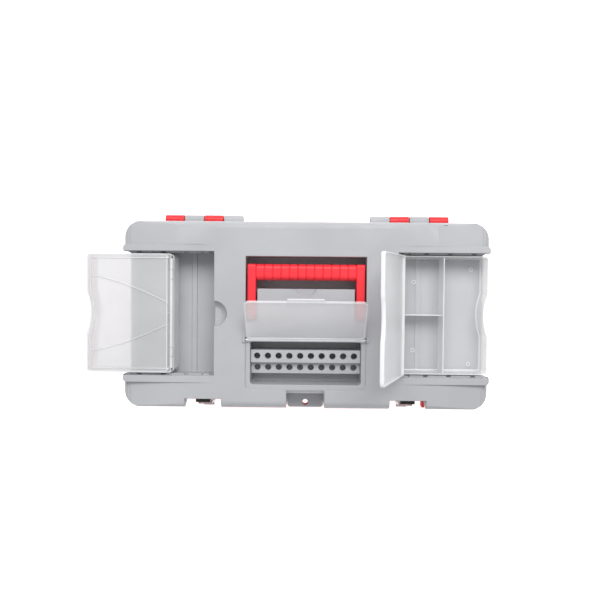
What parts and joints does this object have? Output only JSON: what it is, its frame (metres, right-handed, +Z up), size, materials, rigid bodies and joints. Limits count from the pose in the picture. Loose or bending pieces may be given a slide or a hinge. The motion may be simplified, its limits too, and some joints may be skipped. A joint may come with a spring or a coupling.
{
  "type": "toolbox with tray",
  "caption": "Plastic toolbox with a lift-out tote tray, fold-flat carrying handle, covered driver-bit rack and slide-out clear lidded organizers in the lid.",
  "frame": {"origin": "centre of the bin's flat bottom", "axes": "+X to the right organizer, +Y to the rear hinges, +Z up"},
  "size_m": [0.6035, 0.3144, 0.3918],
  "materials": {
    "grey_plastic": "light grey moulded polypropylene, fine texture",
    "red_plastic": "red moulded polypropylene, satin",
    "clear_plastic": "natural translucent polypropylene",
    "dark_grey_plastic": "dark grey moulded polypropylene",
    "black_steel": "black enamel",
    "bright_steel": "nickel plated"
  },
  "bodies": {
    "bin": {"bin": "red_plastic", "hinge_pin_left": "bright_steel", "hinge_pin_right": "bright_steel", "latch_left_bracket": "bright_steel", "latch_left_pivot_pin": "bright_steel", "latch_left_bracket_rivet_high": "bright_steel", "latch_left_bracket_rivet_low": "bright_steel", "latch_right_bracket": "bright_steel", "latch_right_pivot_pin": "bright_steel", "latch_right_bracket_rivet_high": "bright_steel", "latch_right_bracket_rivet_low": "bright_steel"},
    "lid": {"lid_shell": "grey_plastic", "bit_rack": "grey_plastic", "handle_pin_left": "bright_steel", "handle_pin_right": "bright_steel", "latch_left_keeper": "black_steel", "latch_left_keeper_rivet": "bright_steel", "latch_right_keeper": "black_steel", "latch_right_keeper_rivet": "bright_steel", "bit_cover_pin": "bright_steel"},
    "tote_tray": {"tote_tray": "dark_grey_plastic"},
    "handle": {"handle": "red_plastic"},
    "bit_cover": {"bit_cover": "clear_plastic"},
    "organizer_left": {"organizer_left_tray": "clear_plastic", "organizer_left_hinge_pin": "clear_plastic"},
    "organizer_left_lid": {"organizer_left_lid": "clear_plastic"},
    "organizer_right": {"organizer_right_tray": "clear_plastic", "organizer_right_hinge_pin": "clear_plastic"},
    "organizer_right_lid": {"organizer_right_lid": "clear_plastic"},
    "latch_left_lever": {"latch_left_lever": "bright_steel"},
    "latch_left_bail": {"latch_left_bail": "bright_steel"},
    "latch_right_lever": {"latch_right_lever": "bright_steel"},
    "latch_right_bail": {"latch_right_bail": "bright_steel"}
  },
  "joints": [
    {"name": "lid_hinge", "type": "hinge", "parent": "bin", "child": "lid", "pos_m": [0, 0.148, 0.21], "axis": [-1, 0, 0], "range_deg": [0, 105]},
    {"name": "tray_lift", "type": "slide", "parent": "bin", "child": "tote_tray", "axis": [0, 0, 1], "range_m": [0, 0.09]},
    {"name": "handle_fold", "type": "hinge", "parent": "lid", "child": "handle", "pos_m": [0, 0.0018, 0.2615], "axis": [1, 0, 0], "range_deg": [0, 92]},
    {"name": "cover_hinge", "type": "hinge", "parent": "lid", "child": "bit_cover", "pos_m": [0, -0.0365, 0.276], "axis": [-1, 0, 0], "range_deg": [-143, 0]},
    {"name": "organizer_left_slide", "type": "slide", "parent": "lid", "child": "organizer_left", "axis": [-1, 0, 0], "range_m": [-0.056, 0.075]},
    {"name": "organizer_left_lid_hinge", "type": "hinge", "parent": "organizer_left", "child": "organizer_left_lid", "pos_m": [-0.2012, 0, 0.272], "axis": [0, 1, 0], "range_deg": [0, 111.5]},
    {"name": "organizer_right_slide", "type": "slide", "parent": "lid", "child": "organizer_right", "axis": [1, 0, 0], "range_m": [0, 0.131]},
    {"name": "organizer_right_lid_hinge", "type": "hinge", "parent": "organizer_right", "child": "organizer_right_lid", "pos_m": [0.1452, 0, 0.272], "axis": [0, -1, 0], "range_deg": [-111.5, 0]},
    {"name": "latch_left_lever_hinge", "type": "hinge", "parent": "bin", "child": "latch_left_lever", "pos_m": [-0.163, -0.145, 0.188], "axis": [1, 0, 0], "range_deg": [-95, 0]},
    {"name": "latch_left_bail_hinge", "type": "hinge", "parent": "latch_left_lever", "child": "latch_left_bail", "pos_m": [-0.163, -0.145, 0.177], "axis": [-1, 0, 0], "range_deg": [0, 186]},
    {"name": "latch_right_lever_hinge", "type": "hinge", "parent": "bin", "child": "latch_right_lever", "pos_m": [0.163, -0.145, 0.188], "axis": [1, 0, 0], "range_deg": [-95, 0]},
    {"name": "latch_right_bail_hinge", "type": "hinge", "parent": "latch_right_lever", "child": "latch_right_bail", "pos_m": [0.163, -0.145, 0.177], "axis": [-1, 0, 0], "range_deg": [0, 186]}
  ],
  "couplings": [
    {"joint": "tray_lift", "follows": "lid_hinge", "m_per_rad": 0.0491},
    {"joint": "cover_hinge", "follows": "handle_fold", "ratio": -1.5543}
  ]
}
